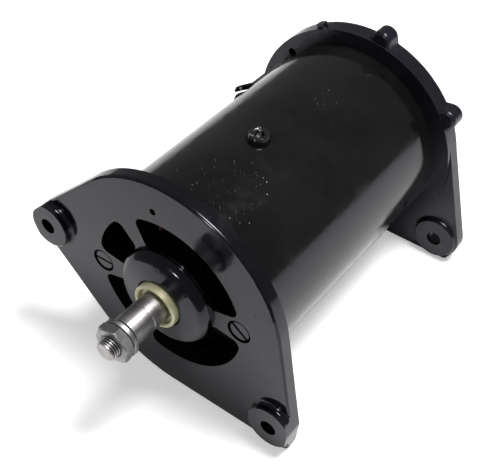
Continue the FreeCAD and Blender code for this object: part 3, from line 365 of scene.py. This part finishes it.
# %% Which node gets which finish
finishes = {
    "plate_enamel": "drive_end_bracket through_bolt_right through_bolt_left",
    "yoke_enamel": "yoke",
    "worn_screw": "pole_screw_upper pole_screw_lower",
    "cover_enamel": "commutator_end_bracket",
    "terminal_enamel": "output_terminal field_terminal terminal_rivets",
    "shaft_steel": "armature_shaft bush_cap",
    "nut_steel": "shaft_nut shaft_spring_washer shaft_key locating_dowels felt_ring_cup"
                 " retaining_plate_rivets brush_box_screws brush_arm_upper brush_arm_lower"
                 " brush_spring_upper brush_spring_lower",
    "zinc_yellow": "shaft_collar brush_box_upper brush_box_lower",
    "dull_steel": "bearing_retaining_plate",
    "ground_steel": "bearing_inner_race bearing_outer_race bearing_balls",
    "cage_brass": "bearing_cage",
    "oiled_bronze": "end_bush",
    "copper_bar": "commutator_segments",
    "wire_varnish": "armature_windings",
    "pole_iron": "pole_shoe_upper pole_shoe_lower",
    "core_iron": "armature_core",
    "fibre_board": "core_end_discs thrust_washer brush_box_insulator",
    "dark_resin": "terminal_block commutator_sleeve",
    "brush_carbon": "brush_upper brush_lower",
    "grey_felt": "felt_ring bush_felt_disc",
    "coil_tape": "field_coil_upper field_coil_lower",
    "woven_sleeve": "output_lead field_lead field_link",
}


def coat(piece, material):
    """Gives a piece one material all over."""
    piece.data.materials.clear()
    piece.data.materials.append(material)


for finish, names in finishes.items():
    for name in names.split():
        coat(solids[name], Finish.made[finish])
left = set(solids) - set(" ".join(finishes.values()).split())
print("solids without a finish:", left)

# %% [markdown]
# Modelling repeats a few moves: select one piece alone, apply a modifier, run operators in edit
# mode, draw a line, shade it smoothly. Each becomes a small helper. Two more know the model: one
# copies a solid, merges its loose triangles and joins the flat ones to whole faces, and one puts
# a new piece in the place of a solid, with its body and its finish.

# %% Helpers for modelling
def alone(piece):
    """Selects one piece and nothing else, and makes it the active one."""
    bpy.ops.object.select_all(action="DESELECT")
    piece.select_set(True)
    bpy.context.view_layer.objects.active = piece


def finished_with(piece, kind, **settings):
    """Adds a modifier, sets it up and applies it."""
    alone(piece)
    modifier = piece.modifiers.new(kind.lower(), kind)
    for key, value in settings.items():
        setattr(modifier, key, value)
    bpy.ops.object.modifier_apply(modifier=modifier.name)
    return piece


def edited(piece, *steps):
    """Runs edit mode operators, each a pair of operator and settings, on the whole mesh."""
    alone(piece)
    bpy.ops.object.mode_set(mode="EDIT")
    bpy.ops.mesh.select_all(action="SELECT")
    for operator, settings in steps:
        operator(**settings)
    bpy.ops.object.mode_set(mode="OBJECT")
    return piece


def drawn(name, points):
    """A line through points, made by extruding one vertex from each point to the next."""
    bpy.ops.object.select_all(action="DESELECT")
    bpy.ops.mesh.primitive_plane_add(size=0.001)
    piece = bpy.context.active_object
    piece.name = name
    bpy.ops.object.mode_set(mode="EDIT")
    bpy.ops.mesh.select_all(action="SELECT")
    bpy.ops.mesh.merge(type="CENTER")
    bpy.ops.transform.translate(value=points[0])
    for start, end in zip(points, points[1:]):
        step = Vector(end) - Vector(start)
        bpy.ops.mesh.extrude_region_move(TRANSFORM_OT_translate={"value": step})
    bpy.ops.object.mode_set(mode="OBJECT")
    return piece


def smoothed(piece, angle):
    """Shades a piece smoothly, but for edges sharper than an angle."""
    alone(piece)
    bpy.ops.object.shade_smooth_by_angle(angle=math.radians(angle))
    return piece


def copy_of(name):
    """A merged copy of a solid, as a new piece with its own mesh."""
    piece = bpy.data.objects.new(name + "_dressed", solids[name].data.copy())
    bpy.context.collection.objects.link(piece)
    return edited(piece,
                  (bpy.ops.mesh.remove_doubles, {"threshold": 0.000002}),
                  (bpy.ops.mesh.dissolve_limited, {"angle_limit": math.radians(0.3)}))


def body_of(name):
    """The body that a solid belongs to."""
    return next(b for b, names in frame["record"]["behaviour"]["bodies"].items() if name in names)


def stands_for(piece, name):
    """The piece takes the place, the body and the finish of a solid."""
    piece.data.materials.clear()
    piece.data.materials.append(solids[name].data.materials[0])
    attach(piece, body_of(name))
    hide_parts(name)
    return piece


# %% [markdown]
# The solids have the right shape but knife-sharp edges, which no casting or turned part has, and
# which catch no light. So every edge of a copy that is sharper than a set angle gets a bevel: a
# third of a millimetre or more on castings, a tenth or two on screws and blades. Weighted normals
# keep the large flat faces flat in the light beside their new narrow edges.

# %% Rounded copies
sharp = 38
rounded = {
    "drive_end_bracket": 0.35, "commutator_end_bracket": 0.45, "yoke": 0.3, "shaft_nut": 0.3,
    "shaft_spring_washer": 0.5, "shaft_collar": 0.35, "through_bolt_right": 0.2,
    "through_bolt_left": 0.2, "pole_screw_upper": 0.35, "pole_screw_lower": 0.35,
    "terminal_block": 0.3, "output_terminal": 0.15, "field_terminal": 0.15,
    "terminal_rivets": 0.3, "bush_cap": 0.4, "field_coil_upper": 1.4, "field_coil_lower": 1.4,
    "pole_shoe_upper": 0.4, "pole_shoe_lower": 0.4, "brush_box_insulator": 0.3,
    "brush_upper": 0.2, "brush_lower": 0.2, "commutator_sleeve": 0.3,
}
for name, width in rounded.items():
    piece = copy_of(name)
    finished_with(piece, "BEVEL", width=width * MILLIMETRE, segments=2, limit_method="ANGLE",
                  angle_limit=math.radians(sharp))
    smoothed(piece, sharp)
    finished_with(piece, "WEIGHTED_NORMAL", keep_sharp=True, weight=100)
    stands_for(piece, name)
    print(name, "faces:", len(piece.data.polygons))

# %% [markdown]
# The end of the shaft carries a real thread. Its profile is one pitch long, root and crest, and
# the Screw modifier winds it up along the axis. Cutting it at both ends with a plane closes it.
# In front of it stands the short plain point that helps a nut on, a cylinder with a bevelled
# edge. The solid's own front end, which only has rings, is cut off just inside the nut, and all
# are joined.

# %% The threaded end of the shaft
crest, root, pitch = 0.0050, 0.00440, 0.00125
tip, start, inside = -0.0315, -0.0308, -0.0240
profile = [(root, 0.0), (root, 0.14), (crest, 0.42), (crest, 0.58), (root, 0.86), (root, 1.0)]
thread = drawn("thread", [(r, tip + (share - 2) * pitch, 0) for r, share in profile])
finished_with(thread, "SCREW", axis="Y", screw_offset=pitch, iterations=11, steps=32,
              render_steps=32, use_merge_vertices=True, merge_threshold=0.00001)
edited(thread,
       (bpy.ops.mesh.remove_doubles, {"threshold": 0.00001}),
       (bpy.ops.mesh.bisect, {"plane_co": (0, start, 0), "plane_no": (0, 1, 0), "use_fill": True,
                              "clear_inner": True}))
edited(thread,
       (bpy.ops.mesh.bisect, {"plane_co": (0, inside, 0), "plane_no": (0, 1, 0), "use_fill": True,
                              "clear_outer": True}),
       (bpy.ops.mesh.normals_make_consistent, {"inside": False}))
bpy.ops.object.select_all(action="DESELECT")
bpy.ops.mesh.primitive_cylinder_add(vertices=48, radius=root + 0.00005, depth=0.0012,
                                    location=(0, tip + 0.0006, 0), rotation=(math.pi / 2, 0, 0))
point = bpy.context.active_object
bpy.ops.object.transform_apply(location=True, rotation=True, scale=True)
edited(point, (bpy.ops.mesh.bevel, {"offset": 0.0003, "segments": 2}))
shaft = copy_of("armature_shaft")
edited(shaft, (bpy.ops.mesh.bisect, {"plane_co": (0, inside, 0), "plane_no": (0, 1, 0),
                                     "use_fill": True, "clear_inner": True}))
bpy.ops.object.select_all(action="DESELECT")
for part in (thread, point, shaft):
    part.select_set(True)
bpy.context.view_layer.objects.active = shaft
bpy.ops.object.join()
smoothed(shaft, 32)
finished_with(shaft, "WEIGHTED_NORMAL", keep_sharp=True, weight=100)
stands_for(shaft, "armature_shaft")
print("shaft faces:", len(shaft.data.polygons))

# %% [markdown]
# The armature's windings are bundles of varnished wire. Each leaves a slot of the core, dives
# towards the shaft, crosses under its neighbours and climbs to the slot opposite. The bundles of
# one end have all the same path, turned from slot to slot, so one is drawn as a line that
# spirals in on the outer layer and out again on the inner one. A tube follows the line, and
# copies are turned about the shaft. The straight part in the slots is a plain bar.

# %% The armature's windings
slots = 14
sweep = math.radians(6 * 360 / slots)
reach_in, reach_out, wire_radius, wire_shift = 0.0150, 0.0247, 0.00085, 0.0008
front_face, rear_face, tail = 0.0368, 0.1112, 0.004


def bundle_line(face, outward, shift_in, shift_up):
    """The path of one wire over an end of the core, as points a few degrees apart."""
    entry = reach_out + shift_in
    points = [(entry, face - outward * tail, 0.0)]
    steps = 28
    for step in range(steps + 1):
        share = step / steps
        turn = sweep * share
        dip = math.sin(math.pi * share)
        radius = reach_out + (reach_in - reach_out) * dip ** 0.8 + shift_in
        layer = 0.0048 + 0.0020 * math.cos(math.pi * share)
        station = face + outward * (layer * min(1.0, 4 * share, 4 * (1 - share)) + shift_up)
        points.append((radius * math.cos(turn), station, radius * math.sin(turn)))
    points.append((entry * math.cos(sweep), face - outward * tail, entry * math.sin(sweep)))
    return points


def tube_along(name, points, thickness):
    """A round wire that follows points, made a mesh."""
    line = bpy.data.curves.new(name, "CURVE")
    line.dimensions = "3D"
    line.bevel_depth = thickness
    line.bevel_resolution = 1
    line.resolution_u = 2
    line.use_fill_caps = True
    spline = line.splines.new("NURBS")
    spline.points.add(len(points) - 1)
    for point, place in zip(spline.points, points):
        point.co = (*place, 1.0)
    spline.order_u = 3
    spline.use_endpoint_u = True
    piece = bpy.data.objects.new(name, line)
    bpy.context.collection.objects.link(piece)
    alone(piece)
    bpy.ops.object.convert(target="MESH")
    return bpy.context.active_object


def joined(name, pieces):
    """Several meshes as one piece."""
    bpy.ops.object.select_all(action="DESELECT")
    for piece in pieces:
        piece.select_set(True)
    bpy.context.view_layer.objects.active = pieces[0]
    bpy.ops.object.join()
    pieces[0].name = name
    return pieces[0]


strands = []
for face, outward in ((front_face, -1), (rear_face, 1)):
    for shift_in in (-wire_shift, wire_shift):
        for shift_up in (-wire_shift, wire_shift):
            line = bundle_line(face, outward, shift_in, shift_up)
            strands.append(tube_along("wire", line, wire_radius))
bpy.ops.object.select_all(action="DESELECT")
bar_place = (0.0236, (front_face + rear_face) / 2, 0)
bpy.ops.mesh.primitive_cylinder_add(vertices=16, radius=0.0017, depth=rear_face - front_face,
                                    location=bar_place, rotation=(math.pi / 2, 0, 0))
bar = bpy.context.active_object
bpy.ops.object.transform_apply(location=True, rotation=True, scale=True)
edited(bar, (bpy.ops.mesh.bevel, {"offset": 0.0003, "segments": 1}))
section = joined("winding_section", strands + [bar])
turned = [section]
for index in range(1, slots):
    other = bpy.data.objects.new("winding_section", section.data.copy())
    bpy.context.collection.objects.link(other)
    other.data.transform(Matrix.Rotation(math.radians(index * 360 / slots), 4, "Y"))
    turned.append(other)
windings = joined("armature_windings_wound", turned)
smoothed(windings, 50)
stands_for(windings, "armature_windings")
stations = [round(v.co.y, 4) for v in windings.data.vertices]
print("windings faces:", len(windings.data.polygons), "y from", min(stations), "to", max(stations))

# %% [markdown]
# The dynamo lies on a white sheet that runs out of the picture. It rests on the lower edge of
# the drive end plate and on the flange at the other end, which is smaller, so the sheet is
# tilted by a degree to touch both. The sheet is white in itself: nearly half of what the camera
# sees of it is its own light and the rest is lamp light, so the object throws a shadow on it.

# %% The white sheet
rear_edge, front_edge = (0.1703, -0.0588), (0.0165, -0.0614)
tilt = math.atan2(rear_edge[1] - front_edge[1], rear_edge[0] - front_edge[0])
bpy.ops.mesh.primitive_plane_add(size=1.0, location=(0, front_edge[0], front_edge[1]),
                                 rotation=(tilt, 0, 0))
sheet = bpy.context.active_object
left_end, right_end, near_end, far_end = -0.7, 0.8, -0.13, 0.9
for corner in sheet.data.vertices:
    corner.co.x = right_end if corner.co.x > 0 else left_end
    corner.co.y = far_end if corner.co.y > 0 else near_end
sheet.name = "white_sheet"
paper = Finish("white_paper", Roughness=0.9)
paper.shader.inputs["Base Color"].default_value = (0.8, 0.8, 0.8, 1)
paths = paper.node("ShaderNodeLightPath").socket.node.outputs
mirror = Wire(paper, paths["Is Glossy Ray"]).at_least(Wire(paper, paths["Is Transmission Ray"]))
seen = Wire(paper, paths["Is Camera Ray"]).at_least(mirror * 0.25)
paper.shader.inputs["Emission Color"].default_value = (1, 1, 1, 1)
paper.plug(paper.shader.inputs["Emission Strength"], seen * 0.42)
coat(sheet, paper.material)

# %% [markdown]
# Light: a pale, even world, one soft lamp overhead for the shadow, and a small one in front like
# a window, which is the bright spot on the boss. The enamel mirrors the white sheet below and a
# dark room above, as in the photograph, so the world is white for the camera and dark for
# mirrored rays.

# %% World and lamps
world = bpy.data.worlds.new("pale_room")
bpy.context.scene.world = world
world.use_nodes = True
room = Finish.__new__(Finish)
room.tree = world.node_tree
background = room.tree.nodes["Background"]
ray = room.node("ShaderNodeLightPath").socket.node.outputs
mirrored = Wire(room, ray["Is Glossy Ray"])
background.inputs["Color"].default_value = (1, 1, 1, 1)
level = Wire(room, ray["Is Camera Ray"]) * 0.86 + 0.14 + mirrored * 0.04
room.plug(background.inputs["Strength"], level)
print("world and its shader nodes:", world.name, len(room.tree.nodes))


def lamp(name, place, target, size, power):
    data = bpy.data.lights.new(name, "AREA")
    data.shape = "RECTANGLE"
    data.size, data.size_y = size
    data.energy = power
    light = bpy.data.objects.new(name, data)
    light.location = place
    aim = Vector(target) - Vector(place)
    light.rotation_euler = aim.to_track_quat("-Z", "Y").to_euler()
    bpy.context.collection.objects.link(light)
    return light


lamp("key_lamp", (0.30, 0.25, 1.1), (0, 0.08, 0), (0.4, 0.4), 20.0)
lamp("window_lamp", (-0.02, -1.1, 0.43), (0, 0, 0), (0.11, 0.11), 3.5)

# %% [markdown]
# The standard view shows colours as they are written.

# %% Settings and the end
bpy.context.scene.view_settings.view_transform = "Standard"
